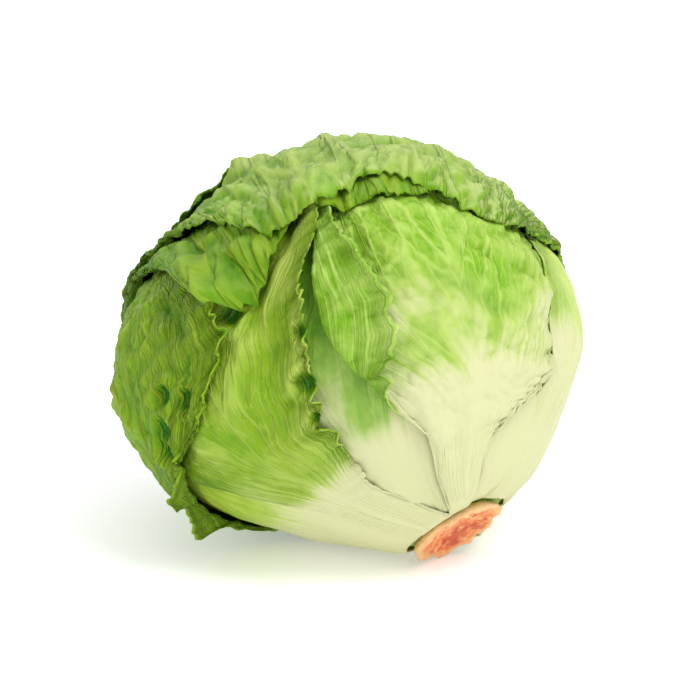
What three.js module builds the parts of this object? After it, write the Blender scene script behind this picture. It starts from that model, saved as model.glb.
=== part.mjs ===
// A head of crisp lettuce lying tilted on its side, with its cut stem low at the front.
// Millimetres, +Z up. The origin is the middle of the small flat spot that it rests on.
// Outlines are given on the head itself: degrees away from the stem, then degrees round it,
// where 0 faces the front and the count grows toward the right.
import * as THREE from 'three';
import { mergeVertices } from 'three/addons/utils/BufferGeometryUtils.js';

// The head's own size and the height of its middle over the surface.
const HALF_WIDTH = 82;
const HALF_DEPTH = 80;
const HALF_HEIGHT = 67.6;
const MIDDLE_HEIGHT = 66.5;
// The stem leans toward the front right, in degrees from straight down and from the front.
const STEM_LEAN = 45.5;
const STEM_TURN = 42;
const STEM_FACE = 77;
const STEM_RADIUS = 16;
const STEM_FOOT_RADIUS = 14.5;
const STEM_SEAT = 73;
// The neck that the leaves make round the stem.
const NECK_HEIGHT = 12;
const NECK_SPREAD = 24;
// The leaves: their thickness, the room between them and what they take up together.
const BLADE = 1.1;
const MIDRIB = 1.3;
const LEAF_GAP = 0.9;
const LEAST_GAP = 0.35;
const LEAVES_DEPTH = 5.5;
const LEAVES_DEPTH_BEHIND = 10.5;
const THIN_SIDE = [68, -12];
// Where the head is fuller than an egg, at the crown and low on the left, and where it is leaner.
const SWELLS = [
  { place: [122, 58], height: 9, spread: 36 },
  { place: [101, -76], height: 5.5, spread: 34 },
  { place: [134, -42], height: -6, spread: 24 }];
const HEART_FLOOR_GAP = 6.5;
const HEART_DETAIL = 6;
// A turned margin rolls round this radius.
const ROLL_RADIUS = 3;
// The flat spot under the head: flat within the first angle, eased out by the second.
const REST_FLAT = 13;
const REST_EASE = 24;
// How high over the surface a leaf stays, unless its own entry says otherwise.
const FLOOR_GAP = 0.3;
// The map of heights that a leaf is laid on: its cell, and how far it bridges over steps.
const MAP_SCALE = 80;
const MAP_CELL = 2.5;
const MAP_HALF = 200;
const BRIDGE_CELLS = 2;
const SETTLE_PASSES = 8;
// How finely a leaf is cut into triangles.
const EDGE_INSET = 0.86;
const EDGE_SPLIT = 3;

const rad = THREE.MathUtils.degToRad;
const stemAxis = new THREE.Vector3(
  Math.sin(rad(STEM_LEAN)) * Math.sin(rad(STEM_TURN)),
  -Math.sin(rad(STEM_LEAN)) * Math.cos(rad(STEM_TURN)),
  -Math.cos(rad(STEM_LEAN)));
const front = new THREE.Vector3(0, -1, 0);
front.addScaledVector(stemAxis, -front.dot(stemAxis)).normalize();
const side = new THREE.Vector3().crossVectors(stemAxis, front);
side.multiplyScalar(Math.sign(side.x));
const middle = new THREE.Vector3(0, 0, MIDDLE_HEIGHT);
const down = new THREE.Vector3(0, 0, -1);

function smooth(low, high, value) {
  return THREE.MathUtils.smoothstep(value, low, high);
}

// Unit vector at an angle from the stem and an angle round it.
function direction(fromStem, round) {
  const out = stemAxis.clone().multiplyScalar(Math.cos(rad(fromStem)));
  out.addScaledVector(front, Math.sin(rad(fromStem)) * Math.cos(rad(round)));
  out.addScaledVector(side, Math.sin(rad(fromStem)) * Math.sin(rad(round)));
  return out;
}

function angleBetween(a, b) {
  return THREE.MathUtils.radToDeg(Math.acos(THREE.MathUtils.clamp(a.dot(b), -1, 1)));
}

// Distance from the head's middle to the surface it stands on, along a direction.
function floorReach(dir) {
  return dir.z < -0.05 ? MIDDLE_HEIGHT / -dir.z : Infinity;
}

// The dense heart under the loose outer leaves.
function heartReach(dir) {
  const scaled = new THREE.Vector3(dir.x / HALF_WIDTH, dir.y / HALF_DEPTH, dir.z / HALF_HEIGHT);
  const fromStem = angleBetween(dir, stemAxis);
  const neck = NECK_HEIGHT * Math.exp(-((fromStem / NECK_SPREAD) ** 2));
  const folds = 0.6 * Math.sin(9 * dir.x + 4 * dir.z) * Math.sin(7 * dir.y - 5 * dir.z + 1);
  const behind = smooth(50, 110, angleBetween(dir, direction(...THIN_SIDE)));
  const leaves = THREE.MathUtils.lerp(LEAVES_DEPTH, LEAVES_DEPTH_BEHIND, behind);
  const swell = SWELLS.reduce((sum, { place, height, spread }) => {
    const off = angleBetween(dir, direction(...place)) / spread;
    return sum + height * Math.exp(-(off ** 2));
  }, 0);
  const reach = 1 / scaled.length() - leaves + neck + folds + swell;
  const seat = fromStem < 60 ? STEM_SEAT / Math.cos(rad(fromStem)) : Infinity;
  const floor = dir.z < -0.05 ? (MIDDLE_HEIGHT - HEART_FLOOR_GAP) / -dir.z : Infinity;
  return Math.min(reach, seat, floor);
}

// A flat map round one leaf's middle: x runs round the stem, y runs away from it.
function makeFrame(fromStem, round) {
  const centre = direction(fromStem, round);
  const north = direction(fromStem + 90, round);
  const east = direction(90, round + 90);
  return { centre, north, east };
}

function onMap(frame, dir) {
  const angle = Math.acos(THREE.MathUtils.clamp(dir.dot(frame.centre), -1, 1));
  const x = dir.dot(frame.east);
  const y = dir.dot(frame.north);
  const scale = MAP_SCALE * angle / Math.max(Math.hypot(x, y), 1e-9);
  return [x * scale, y * scale];
}

function offMap(frame, x, y) {
  const length = Math.hypot(x, y);
  const angle = length / MAP_SCALE;
  const out = frame.centre.clone().multiplyScalar(Math.cos(angle));
  if (length < 1e-9) return out;
  out.addScaledVector(frame.east, Math.sin(angle) * x / length);
  return out.addScaledVector(frame.north, Math.sin(angle) * y / length);
}

// A smooth line through rows of numbers, by the share of its length: the first two are x and y.
function lineThrough(rows) {
  const at = [0];
  for (let i = 1; i < rows.length; i += 1) {
    at.push(at[i - 1] + Math.hypot(rows[i][0] - rows[i - 1][0], rows[i][1] - rows[i - 1][1]));
  }
  const total = at[at.length - 1];
  const slope = (i, k) => {
    const a = Math.max(i - 1, 0);
    const b = Math.min(i + 1, rows.length - 1);
    return (rows[b][k] - rows[a][k]) / (at[b] - at[a]);
  };
  const value = (share) => {
    const s = share * total;
    let i = 0;
    while (i < rows.length - 2 && at[i + 1] < s) i += 1;
    const span = at[i + 1] - at[i];
    const t = (s - at[i]) / span;
    return rows[i].map((start, k) => {
      const rise = t * t * (3 - 2 * t);
      const first = t * (1 - t) * (1 - t) * span * slope(i, k);
      const last = t * t * (1 - t) * span * slope(i + 1, k);
      return start + (rows[i + 1][k] - start) * rise + first - last;
    });
  };
  return { value, total };
}

// The heights that a leaf lies on: the heart and every leaf laid before it.
function makeHeights(frame, laid) {
  const half = Math.ceil(MAP_HALF / MAP_CELL);
  const size = 2 * half + 1;
  const raw = new Float64Array(size * size);
  const index = (x, y) => {
    const i = THREE.MathUtils.clamp(Math.round(x / MAP_CELL) + half, 0, size - 1);
    const j = THREE.MathUtils.clamp(Math.round(y / MAP_CELL) + half, 0, size - 1);
    return j * size + i;
  };
  for (let j = 0; j < size; j += 1) {
    for (let i = 0; i < size; i += 1) {
      raw[j * size + i] = heartReach(offMap(frame, (i - half) * MAP_CELL, (j - half) * MAP_CELL));
    }
  }
  for (const point of laid) {
    const offset = point.clone().sub(middle);
    const length = offset.length();
    const [x, y] = onMap(frame, offset.divideScalar(length));
    const cell = index(x, y);
    raw[cell] = Math.max(raw[cell], length);
  }
  const highest = (list) => list.reduce((a, b) => Math.max(a, b));
  const mean = (list) => list.reduce((a, b) => a + b) / list.length;
  let soft = sweep(sweep(raw, size, highest, 1), size, highest, size);
  soft = sweep(sweep(soft, size, mean, 1), size, mean, size);
  const lookUp = (x, y) => {
    const gx = THREE.MathUtils.clamp(x / MAP_CELL + half, 0, size - 1.001);
    const gy = THREE.MathUtils.clamp(y / MAP_CELL + half, 0, size - 1.001);
    const i = Math.floor(gx);
    const j = Math.floor(gy);
    const low = THREE.MathUtils.lerp(soft[j * size + i], soft[j * size + i + 1], gx - i);
    const high = THREE.MathUtils.lerp(soft[(j + 1) * size + i], soft[(j + 1) * size + i + 1], gx - i);
    return THREE.MathUtils.lerp(low, high, gy - j);
  };
  const below = (x, y) => raw[index(x, y)];
  return { lookUp, below };
}

// Runs a window of cells along one direction of the map and combines what is in it.
function sweep(map, size, combine, step) {
  const out = new Float64Array(map.length);
  for (let cell = 0; cell < map.length; cell += 1) {
    const place = step === 1 ? cell % size : Math.floor(cell / size);
    const list = [];
    for (let k = -BRIDGE_CELLS; k <= BRIDGE_CELLS; k += 1) {
      const near = THREE.MathUtils.clamp(place + k, 0, size - 1) - place;
      list.push(map[cell + near * step]);
    }
    out[cell] = combine(list);
  }
  return out;
}

// Where blade that runs past a fold by this much ends up: along the surface, and over it.
function roll(past, turn) {
  const angle = Math.min(past / ROLL_RADIUS, turn);
  const straight = past - angle * ROLL_RADIUS;
  return [
    ROLL_RADIUS * Math.sin(angle) + straight * Math.cos(angle),
    ROLL_RADIUS * (1 - Math.cos(angle)) + straight * Math.sin(angle)];
}

// The waves of a frilled margin, from 0 to 1 along it.
function frillWave(along, seed) {
  const wave = Math.sin(along / 4.1 + seed) + 0.6 * Math.sin(along / 2.3 + 2.7 * seed);
  return 0.5 + wave / 3.2;
}

// A leaf's outline as a surface: share across (-1 to 1) and share along (0 to 1) to a place.
function makeOutline(spec, frame) {
  const rows = (list) => list.map(([fromStem, round, frill = 0, flap = 0]) => {
    const [x, y] = onMap(frame, direction(fromStem, round));
    return [x, y, frill, flap];
  });
  const left = lineThrough(rows(spec.left));
  const right = lineThrough(rows(spec.right));
  const [footLeft, footRight] = [spec.left[0], spec.right[0]];
  const footAt = (share) => onMap(frame, direction(
    THREE.MathUtils.lerp(footLeft[0], footRight[0], share),
    THREE.MathUtils.lerp(footLeft[1], footRight[1], share)));
  const tip = spec.tip ? lineThrough(rows([spec.left.at(-1), ...spec.tip, spec.right.at(-1)])) : null;
  return (across, along) => {
    const a = left.value(along);
    const b = right.value(along);
    const share = (across + 1) / 2;
    const width = Math.hypot(b[0] - a[0], b[1] - a[1]);
    const toRight = [(b[0] - a[0]) / width, (b[1] - a[1]) / width];
    const near = share < 0.5 ? a : b;
    const outward = share < 0.5 ? -1 : 1;
    const flap = Math.max(near[3], 0);
    const total = width / 2 + flap;
    const out = Math.abs(across) * total;
    const past = Math.max(out - width / 2, 0);
    const turn = rad(share < 0.5 ? spec.turnLeft ?? 50 : spec.turnRight ?? 50);
    const [forth, over] = roll(past, turn);
    const travel = Math.min(out, width / 2) + forth;
    const middleX = (a[0] + b[0]) / 2;
    const middleY = (a[1] + b[1]) / 2;
    let x = middleX + toRight[0] * outward * travel;
    let y = middleY + toRight[1] * outward * travel;
    const foot = footAt(share);
    const [footA, footB] = [left.value(0), right.value(0)];
    const hold = (1 - along) ** 4;
    x += hold * (foot[0] - THREE.MathUtils.lerp(footA[0], footB[0], share));
    y += hold * (foot[1] - THREE.MathUtils.lerp(footA[1], footB[1], share));
    if (tip) {
      const end = tip.value(share);
      const last = left.value(1);
      const other = right.value(1);
      const pull = along ** 3;
      x += pull * (end[0] - THREE.MathUtils.lerp(last[0], other[0], share));
      y += pull * (end[1] - THREE.MathUtils.lerp(last[1], other[1], share));
    }
    const sideWave = smooth(EDGE_INSET - 0.1, 1, Math.abs(across)) * Math.max(near[2], 0);
    const tipFrill = spec.tipFrill ?? 0;
    const tipWave = smooth(EDGE_INSET - 0.02, 1, along) * tipFrill;
    const alongSide = along * (share < 0.5 ? left.total : right.total);
    const alongTip = tip ? share * tip.total : share * width;
    const height = over
      + sideWave * frillWave(alongSide, spec.seed + outward)
      + tipWave * frillWave(alongTip, spec.seed + 3);
    const tooth = 0.5 * sideWave * Math.sin(alongSide / 2.9 + spec.seed);
    const tipTooth = 0.5 * tipWave * Math.sin(alongTip / 2.9 + spec.seed);
    x += toRight[0] * outward * tooth - toRight[1] * tipTooth;
    y += toRight[1] * outward * tooth + toRight[0] * tipTooth;
    const rib = MIDRIB * Math.exp(-((across / 0.25) ** 2)) * (1 - along) ** 2;
    return { x, y, height, thickness: BLADE + rib };
  };
}

// The pattern of triangles for a leaf's sheet: a grid, with a finer strip round its margin.
function makePattern(columns, rows) {
  const params = [];
  const faces = [];
  const grid = [];
  for (let j = 0; j <= rows; j += 1) {
    grid.push([]);
    for (let i = 0; i <= columns; i += 1) {
      grid[j].push(params.length);
      params.push([EDGE_INSET * (2 * i / columns - 1), 0.95 * j / rows]);
    }
  }
  for (let j = 0; j < rows; j += 1) {
    for (let i = 0; i < columns; i += 1) {
      const [a, b, c, d] = [grid[j][i], grid[j][i + 1], grid[j + 1][i + 1], grid[j + 1][i]];
      faces.push([a, b, c], [a, c, d]);
    }
  }
  const inner = [];
  for (let j = 0; j < rows; j += 1) inner.push(grid[j][0]);
  for (let i = 0; i < columns; i += 1) inner.push(grid[rows][i]);
  for (let j = rows; j >= 0; j -= 1) inner.push(grid[j][columns]);
  const edge = [];
  const place = (k) => {
    const [across, along] = params[inner[k]];
    return [across / EDGE_INSET, along / 0.95];
  };
  for (let k = 0; k < inner.length - 1; k += 1) {
    for (let s = 0; s < EDGE_SPLIT; s += 1) {
      const [a, b] = [place(k), place(k + 1)];
      const t = s / EDGE_SPLIT;
      edge.push(params.length);
      params.push([THREE.MathUtils.lerp(a[0], b[0], t), THREE.MathUtils.lerp(a[1], b[1], t)]);
    }
  }
  edge.push(params.length);
  params.push([1, 0]);
  for (let k = 0; k < inner.length - 1; k += 1) {
    const [a, b] = [inner[k], inner[k + 1]];
    for (let s = 0; s < EDGE_SPLIT; s += 1) {
      const from = s < EDGE_SPLIT / 2 ? a : b;
      faces.push([from, edge[k * EDGE_SPLIT + s + 1], edge[k * EDGE_SPLIT + s]]);
    }
    faces.push([a, b, edge[k * EDGE_SPLIT + Math.ceil(EDGE_SPLIT / 2)]]);
  }
  const base = [...grid[0]].reverse();
  return { params, faces, loop: [...edge, ...base] };
}

// Points spread over a triangle, close enough for the map's cells.
function spread(a, b, c) {
  const longest = Math.max(a.distanceTo(b), b.distanceTo(c), c.distanceTo(a));
  const count = Math.ceil(longest / (MAP_CELL * 0.8));
  const points = [];
  for (let i = 0; i <= count; i += 1) {
    for (let j = 0; j <= count - i; j += 1) {
      const point = a.clone().multiplyScalar((count - i - j) / count);
      points.push(point.addScaledVector(b, i / count).addScaledVector(c, j / count));
    }
  }
  return points;
}

// Lifts a sheet until none of its triangles reaches into what it lies on.
function settle(sheet, faces, frame, heights) {
  const place = (k) => sheet[k].dir.clone().multiplyScalar(sheet[k].reach + sheet[k].height);
  for (let pass = 0; pass < SETTLE_PASSES; pass += 1) {
    for (const face of faces) {
      let missing = 0;
      for (const point of spread(...face.map(place))) {
        const length = point.length();
        const [x, y] = onMap(frame, point.divideScalar(length));
        missing = Math.max(missing, heights.below(x, y) + LEAST_GAP - length);
      }
      for (const k of face) sheet[k].reach += missing;
    }
  }
}

// The resting spot: there the outermost leaf is pressed flat onto the surface.
function restReach(dir, reach, thickness) {
  const share = 1 - smooth(REST_FLAT, REST_EASE, angleBetween(dir, down));
  if (share === 0) return reach;
  return THREE.MathUtils.lerp(reach, floorReach(dir) - thickness, share);
}

// A leaf: its under face laid over the head, its outer face one thickness above it.
function makeLeaf(spec, laid) {
  const frame = makeFrame(...spec.middle);
  const outline = makeOutline(spec, frame);
  const heights = makeHeights(frame, laid);
  const { params, faces, loop } = makePattern(spec.columns, spec.rows);
  const sheet = params.map(([across, along]) => {
    const { x, y, height, thickness } = outline(across, along);
    const dir = offMap(frame, x, y);
    return { dir, height, thickness, reach: heights.lookUp(x, y) + LEAF_GAP };
  });
  settle(sheet, faces, frame, heights);
  const under = sheet.map(({ dir, reach, height, thickness }) => {
    const rest = spec.rests ? restReach(dir, reach, thickness) : reach;
    const free = Math.min(rest + height, floorReach(dir) - thickness - (spec.floorGap ?? FLOOR_GAP));
    return dir.clone().multiplyScalar(free).add(middle);
  });
  const normals = faceNormals(under, faces, sheet);
  const over = under.map((point, k) => {
    const raised = point.clone().addScaledVector(normals[k], sheet[k].thickness);
    raised.z = Math.max(raised.z, spec.floorGap ?? FLOOR_GAP);
    return raised;
  });
  for (const [a, b, c] of faces) laid.push(...spread(over[a], over[b], over[c]));
  return closeSheet(under, over, faces, loop);
}

// Outward directions at a sheet's points, square to the surface there.
function faceNormals(points, faces, sheet) {
  const normals = points.map(() => new THREE.Vector3());
  for (const [a, b, c] of faces) {
    const normal = new THREE.Vector3().subVectors(points[b], points[a]);
    normal.cross(new THREE.Vector3().subVectors(points[c], points[a]));
    for (const k of [a, b, c]) normals[k].add(normal);
  }
  const lean = normals.reduce((sum, normal, k) => sum + normal.dot(sheet[k].dir), 0);
  return normals.map((normal) => normal.normalize().multiplyScalar(Math.sign(lean)));
}

// Joins the two faces of a leaf round its margin into one closed body.
function closeSheet(under, over, faces, loop) {
  const index = [];
  const count = under.length;
  for (const [a, b, c] of faces) {
    index.push(a, b, c);
    index.push(c + count, b + count, a + count);
  }
  for (let k = 0; k < loop.length; k += 1) {
    const [a, b] = [loop[k], loop[(k + 1) % loop.length]];
    index.push(a, b, b + count, a, b + count, a + count);
  }
  return closedGeometry([...under, ...over], index);
}

// A closed geometry with its faces turned outward.
function closedGeometry(points, index) {
  const geometry = new THREE.BufferGeometry();
  geometry.setAttribute('position', new THREE.Float32BufferAttribute(points.flatMap((p) => [...p]), 3));
  let volume = 0;
  for (let k = 0; k < index.length; k += 3) {
    const [a, b, c] = [points[index[k]], points[index[k + 1]], points[index[k + 2]]];
    volume += a.dot(new THREE.Vector3().crossVectors(b, c));
  }
  geometry.setIndex(volume > 0 ? index : index.reverse());
  geometry.computeVertexNormals();
  return geometry;
}

// The heart: the tight inner head, one dense body.
function makeHeart() {
  const ball = new THREE.IcosahedronGeometry(1, HEART_DETAIL);
  ball.deleteAttribute('normal');
  ball.deleteAttribute('uv');
  const geometry = mergeVertices(ball);
  const position = geometry.attributes.position;
  for (let k = 0; k < position.count; k += 1) {
    const dir = new THREE.Vector3().fromBufferAttribute(position, k).normalize();
    const point = dir.clone().multiplyScalar(heartReach(dir)).add(middle);
    position.setXYZ(k, point.x, point.y, point.z);
  }
  geometry.computeVertexNormals();
  return geometry;
}

// The stem: a short stub that widens to the cut, with a shallow dish in the cut face.
function makeStem() {
  const foot = STEM_SEAT + LEAST_GAP;
  const profile = [
    [0, foot], [STEM_FOOT_RADIUS, foot], [STEM_RADIUS - 0.3, STEM_FACE - 2],
    [STEM_RADIUS, STEM_FACE - 0.8], [STEM_RADIUS - 0.8, STEM_FACE],
    [0.6 * STEM_RADIUS, STEM_FACE - 0.4], [0.3 * STEM_RADIUS, STEM_FACE - 1.4], [0, STEM_FACE - 1.6]];
  const points = profile.map(([radius, height]) => new THREE.Vector2(radius, height));
  const geometry = new THREE.LatheGeometry(points, 28);
  const turn = new THREE.Quaternion().setFromUnitVectors(new THREE.Vector3(0, 1, 0), stemAxis);
  geometry.applyQuaternion(turn);
  geometry.translate(middle.x, middle.y, middle.z);
  return geometry;
}

// The loose leaves from the innermost out. Each margin runs from the stem to the tip as
// [degrees from the stem, degrees round it, frill in mm, blade turned outward in mm].
const LEAVES = [
  { name: 'leaf_under_right', colour: 0xdfe8b8, seed: 1, columns: 6, rows: 8, middle: [58, 52],
    left: [[14, 24], [40, 22], [75, 26], [100, 34]],
    right: [[14, 64], [30, 74], [55, 86], [85, 86], [105, 76]] },
  { name: 'leaf_inner_left', colour: 0xc6dd8a, seed: 2, columns: 7, rows: 9, middle: [62, 0],
    left: [[14, -30], [40, -42], [70, -42], [100, -30], [116, -12]],
    right: [[14, 26], [40, 32], [70, 38], [98, 42], [116, 40]] },
  { name: 'leaf_back_low', colour: 0xb9d67a, seed: 3, columns: 8, rows: 9, middle: [68, 178],
    left: [[14, 140], [40, 126], [70, 122], [100, 134], [122, 158]],
    right: [[14, 205], [40, 205], [70, 216], [100, 224], [122, 206]] },
  { name: 'leaf_back_right', colour: 0xa9cc60, seed: 4, columns: 8, rows: 9, middle: [72, 122],
    left: [[14, 92], [40, 82], [70, 78], [100, 78], [126, 88]],
    right: [[14, 142], [40, 158], [70, 168, 2, 3], [100, 166, 3, 4], [126, 146]] },
  { name: 'leaf_under_front', colour: 0xd5e2a0, seed: 5, columns: 8, rows: 8, middle: [52, -90],
    floorGap: 2.8,
    left: [[14, -132], [40, -150], [65, -148], [86, -130]],
    right: [[14, -26], [30, -26], [50, -30], [70, -44], [86, -64]] },
  { name: 'leaf_centre', colour: 0xcfe39c, seed: 6, columns: 8, rows: 11, middle: [64, 40],
    turnLeft: 165, turnRight: 40,
    left: [[14, 8], [30, 13], [42, 16], [50, 13, 0, 2], [59, 11, 2, 10], [68, 8, 2, 20],
      [77, 8, 2, 27], [87, 11, 2, 23], [98, 17, 1, 14], [112, 25, 0, 6]],
    right: [[14, 30], [28, 36], [36, 43, 1], [41, 51, 3, 2], [46, 64, 3, 2], [58, 72, 2],
      [75, 76], [95, 73], [110, 64]] },
  { name: 'leaf_left', colour: 0x9cc544, seed: 7, columns: 8, rows: 12, middle: [64, -30],
    turnRight: 45,
    left: [[14, -34], [31, -36], [44, -38], [53, -42], [62, -49], [72, -57], [84, -64], [98, -60],
      [112, -40]],
    right: [[14, 12], [20, 4], [26, -3, 1], [38, -11, 2, 1], [48, -8, 3, 2], [57, -8, 3, 2],
      [65, -6, 3, 2], [77, 0, 3, 2], [87, 6, 3, 2], [98, 16, 2, 2], [108, 22, 1, 1]] },
  { name: 'leaf_right', colour: 0xdcebb4, seed: 8, columns: 8, rows: 10, middle: [64, 104],
    turnLeft: 35,
    left: [[14, 47], [20, 47], [26, 55], [37, 66], [48, 69], [58, 70, 2], [70, 73, 3, 1],
      [82, 78, 3, 1], [95, 86, 2, 1]],
    right: [[14, 108], [30, 124], [50, 138, 1, 2], [70, 146, 3, 4], [90, 144, 4, 4], [108, 128, 3, 3]] },
  { name: 'leaf_far_left', colour: 0x7fae2e, seed: 9, columns: 9, rows: 12, middle: [84, -100],
    rests: true, floorGap: 0, turnRight: 50, turnLeft: 50,
    left: [[14, -156], [32, -168], [52, -175, 1, 2], [75, -168, 3, 4], [98, -152, 2, 2],
      [132, -122, 1, 1]],
    right: [[14, -116], [30, -112], [46, -106], [55, -97, 1, 1], [62, -85, 6, 8], [70, -70, 4, 4],
      [78, -57, 3, 3], [86, -46, 3, 3], [88, -36, 4, 3], [85, -25, 4, 3], [90, -15, 4, 3],
      [102, -16, 3, 3], [118, -22, 1], [134, -34]] },
  { name: 'leaf_top_inner', colour: 0x9ecb3c, seed: 10, columns: 9, rows: 12, middle: [148, 180],
    floorGap: 5, tipFrill: 2,
    left: [[14, 166], [50, 156], [85, 135], [106, 105], [112, 80], [107, 60]],
    right: [[14, 186], [45, 190], [70, 210], [96, 238], [116, 262], [126, 290], [130, 316]],
    tip: [[98, 47], [100, 35], [101, 23], [103, 12], [99, 5], [94, 0], [91, -6], [96, -13],
      [106, -18], [118, -26]] },
  { name: 'leaf_top', colour: 0xa6bf66, seed: 11, columns: 10, rows: 13, middle: [148, 176],
    floorGap: 2.6, tipFrill: 2.5, turnLeft: 40, turnRight: 60,
    left: [[14, 150], [40, 148], [60, 140], [72, 128], [78, 112], [82, 92, 1], [83, 72, 1]],
    right: [[14, 184], [40, 188], [60, 204], [78, 224, 1, 2], [100, 248, 3, 3], [124, 276, 3, 3],
      [142, 312, 3, 3]],
    tip: [[86, 60], [94, 51], [102, 43], [107, 33], [103, 22], [101, 9], [110, 1], [122, -8],
      [132, -22]] },
  { name: 'leaf_back_left', colour: 0x86b833, seed: 12, columns: 8, rows: 11, middle: [98, 200],
    tipFrill: 1.5, turnLeft: 40, turnRight: 40,
    left: [[14, 158], [40, 156], [70, 158, 2, 2], [100, 156, 3, 3], [130, 150, 3, 3], [150, 110, 3, 3]],
    right: [[14, 188], [40, 193], [60, 206], [78, 222, 1, 1], [100, 242, 1, 1], [130, 262, 1, 1],
      [156, 292, 1, 1]],
    tip: [[164, 70], [168, 20], [164, -20]] },
];

const STEM_COLOUR = 0xd98a52;
const HEART_COLOUR = 0xcbe08c;

function place(name, geometry, colour, roughness) {
  const material = new THREE.MeshStandardMaterial({ color: colour, roughness, metalness: 0 });
  const mesh = new THREE.Mesh(geometry, material);
  mesh.name = name;
  return mesh;
}

const lettuce = new THREE.Group();
lettuce.add(place('heart', makeHeart(), HEART_COLOUR, 0.55));
lettuce.add(place('cut_stem', makeStem(), STEM_COLOUR, 0.7));
const laid = [];
for (const spec of LEAVES) {
  lettuce.add(place(spec.name, makeLeaf(spec, laid), spec.colour, 0.5));
}

export default lettuce;
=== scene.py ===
# %% [markdown]
# # A head of crisp lettuce
# The head lies tilted on a pale floor, with its cut stem low at the front right. It is made of a dense
# heart, a short stem and twelve loose leaves, laid over each other from the inside out.
# This first step loads the imported model, which fixes every size and place.

# %% Load the imported model
import math

import bpy
import numpy as np
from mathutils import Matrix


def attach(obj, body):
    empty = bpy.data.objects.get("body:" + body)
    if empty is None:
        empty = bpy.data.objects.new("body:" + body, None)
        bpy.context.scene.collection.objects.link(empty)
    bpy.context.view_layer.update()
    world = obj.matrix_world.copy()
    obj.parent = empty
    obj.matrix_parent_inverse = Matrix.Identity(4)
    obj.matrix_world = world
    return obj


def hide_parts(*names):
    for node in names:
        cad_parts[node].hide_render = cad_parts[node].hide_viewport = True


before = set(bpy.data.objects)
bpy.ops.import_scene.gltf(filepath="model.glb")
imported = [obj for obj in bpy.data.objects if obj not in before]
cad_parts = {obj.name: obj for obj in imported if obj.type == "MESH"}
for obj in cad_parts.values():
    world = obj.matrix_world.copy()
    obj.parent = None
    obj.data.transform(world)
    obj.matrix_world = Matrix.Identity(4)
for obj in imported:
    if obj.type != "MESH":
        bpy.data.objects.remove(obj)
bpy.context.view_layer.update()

# %% [markdown]
# The camera comes next, so that every piece can be judged in the view that matters. The head is seen
# from a little above, from nearly a metre away, which gives the flat perspective of a product picture.

# %% Camera
MM = 0.001
HEAD_MIDDLE = np.array([0.0, 0.0, 66.5])
CAMERA_RISE = math.radians(15)
CAMERA_DISTANCE = 0.9
CAMERA_AIM = (0.0, 0.0, 0.0651)
LENS = 134.2

camera_data = bpy.data.cameras.new("camera")
camera_data.lens = LENS
camera = bpy.data.objects.new("camera", camera_data)
camera.location = (
    CAMERA_AIM[0],
    CAMERA_AIM[1] - CAMERA_DISTANCE * math.cos(CAMERA_RISE),
    CAMERA_AIM[2] + CAMERA_DISTANCE * math.sin(CAMERA_RISE),
)
camera.rotation_euler = (math.pi / 2 - CAMERA_RISE, 0, 0)
bpy.context.scene.collection.objects.link(camera)
bpy.context.scene.camera = camera
print("camera at", tuple(camera.location), "lens", LENS)

# %% [markdown]
# Directions on the head are told as on a globe whose pole is the stem: degrees away from the stem,
# then degrees round it, where 0 faces the front and the count grows toward the right. The stem's
# direction is the only thing that ties this globe to the floor.

# %% The head as a globe round its stem
HEAD_HALF = np.array([82.0, 80.0, 67.6])
STEM_LEAN = math.radians(45.5)
STEM_TURN = math.radians(42)
MAP_SCALE = 80.0

stem_axis = np.array([
    math.sin(STEM_LEAN) * math.sin(STEM_TURN),
    -math.sin(STEM_LEAN) * math.cos(STEM_TURN),
    -math.cos(STEM_LEAN),
])
front = np.array([0.0, -1.0, 0.0])
front = front - front.dot(stem_axis) * stem_axis
front = front / np.linalg.norm(front)
side = np.cross(stem_axis, front)
side = side * np.sign(side[0])
down = np.array([0.0, 0.0, -1.0])


def direction(from_stem, round_stem):
    """Unit vectors at angles from the stem and round it, in degrees."""
    a = np.radians(from_stem)[..., None]
    b = np.radians(round_stem)[..., None]
    return np.cos(a) * stem_axis + np.sin(a) * (np.cos(b) * front + np.sin(b) * side)


def one_direction(from_stem, round_stem):
    return direction(np.array(float(from_stem)), np.array(float(round_stem)))


def smooth(low, high, value):
    """A soft step from 0 to 1."""
    t = np.clip((value - low) / (high - low), 0, 1)
    return t * t * (3 - 2 * t)


def angle_between(dirs, axis):
    return np.degrees(np.arccos(np.clip(dirs @ axis, -1, 1)))


print("the stem points along", stem_axis.round(3))


# %% [markdown]
# Real leaves are never regular. One noise function gives all the unevenness here: it is smooth, it
# needs no random numbers that change from run to run, and it works on whole arrays at once.

# %% Noise
HASH_X = 127.1
HASH_Y = 311.7
HASH_SEED = 74.7
HASH_SPREAD = 4375.85


def noise(x, y, seed):
    """Smooth gradient noise, about -0.7 to 0.7, one bump per unit."""
    x, y = np.broadcast_arrays(x, y)
    xi = np.floor(x)
    yi = np.floor(y)
    fx = x - xi
    fy = y - yi

    def corner(i, j):
        turn = np.sin((xi + i) * HASH_X + (yi + j) * HASH_Y + seed * HASH_SEED) * HASH_SPREAD
        angle = (turn - np.floor(turn)) * 2 * math.pi
        return np.cos(angle) * (fx - i) + np.sin(angle) * (fy - j)

    ux = fx * fx * fx * (fx * (fx * 6 - 15) + 10)
    uy = fy * fy * fy * (fy * (fy * 6 - 15) + 10)
    low = corner(0, 0) * (1 - ux) + corner(1, 0) * ux
    high = corner(0, 1) * (1 - ux) + corner(1, 1) * ux
    return low * (1 - uy) + high * uy


# %% [markdown]
# The heart is the tight inner head. Its surface is a function: how far it reaches in any direction.
# It is an egg shape, less the room that the loose leaves take, with a neck that rises to the stem.

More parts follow.
